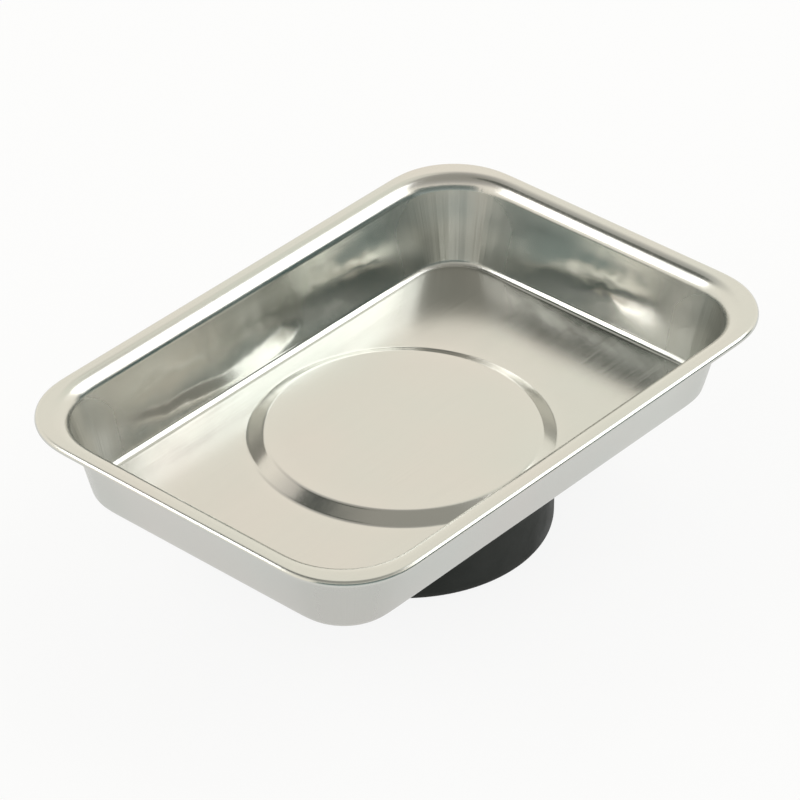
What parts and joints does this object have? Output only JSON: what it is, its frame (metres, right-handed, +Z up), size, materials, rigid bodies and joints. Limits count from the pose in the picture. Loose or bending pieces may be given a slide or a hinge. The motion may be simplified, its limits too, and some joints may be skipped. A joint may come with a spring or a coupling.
{
  "type": "magnetic parts tray",
  "caption": "Shallow rectangular steel tray with sloping walls and a flat rim, standing on a round rubber-booted ring magnet that holds small steel parts and grips a steel bench.",
  "frame": {"origin": "middle of the boot's underside, on the surface that the tray stands on", "axes": "+X along the tray's length, +Y across it, +Z up out of the open tray"},
  "size_m": [0.14, 0.0968, 0.0384],
  "materials": {
    "stainless": "satin stainless, brighter on the drawn walls",
    "zinc_steel": "bright zinc plate",
    "spring_steel": "plain spring steel",
    "ferrite": "ground sintered ferrite",
    "rubber": "matt moulded rubber"
  },
  "bodies": {
    "root": {"tray": "stainless", "weld_stud": "zinc_steel", "magnet_ring": "ferrite", "clamp_cup": "zinc_steel", "flat_washer": "zinc_steel", "lock_washer": "spring_steel", "hex_nut": "zinc_steel", "rubber_boot": "rubber"}
  },
  "joints": []
}
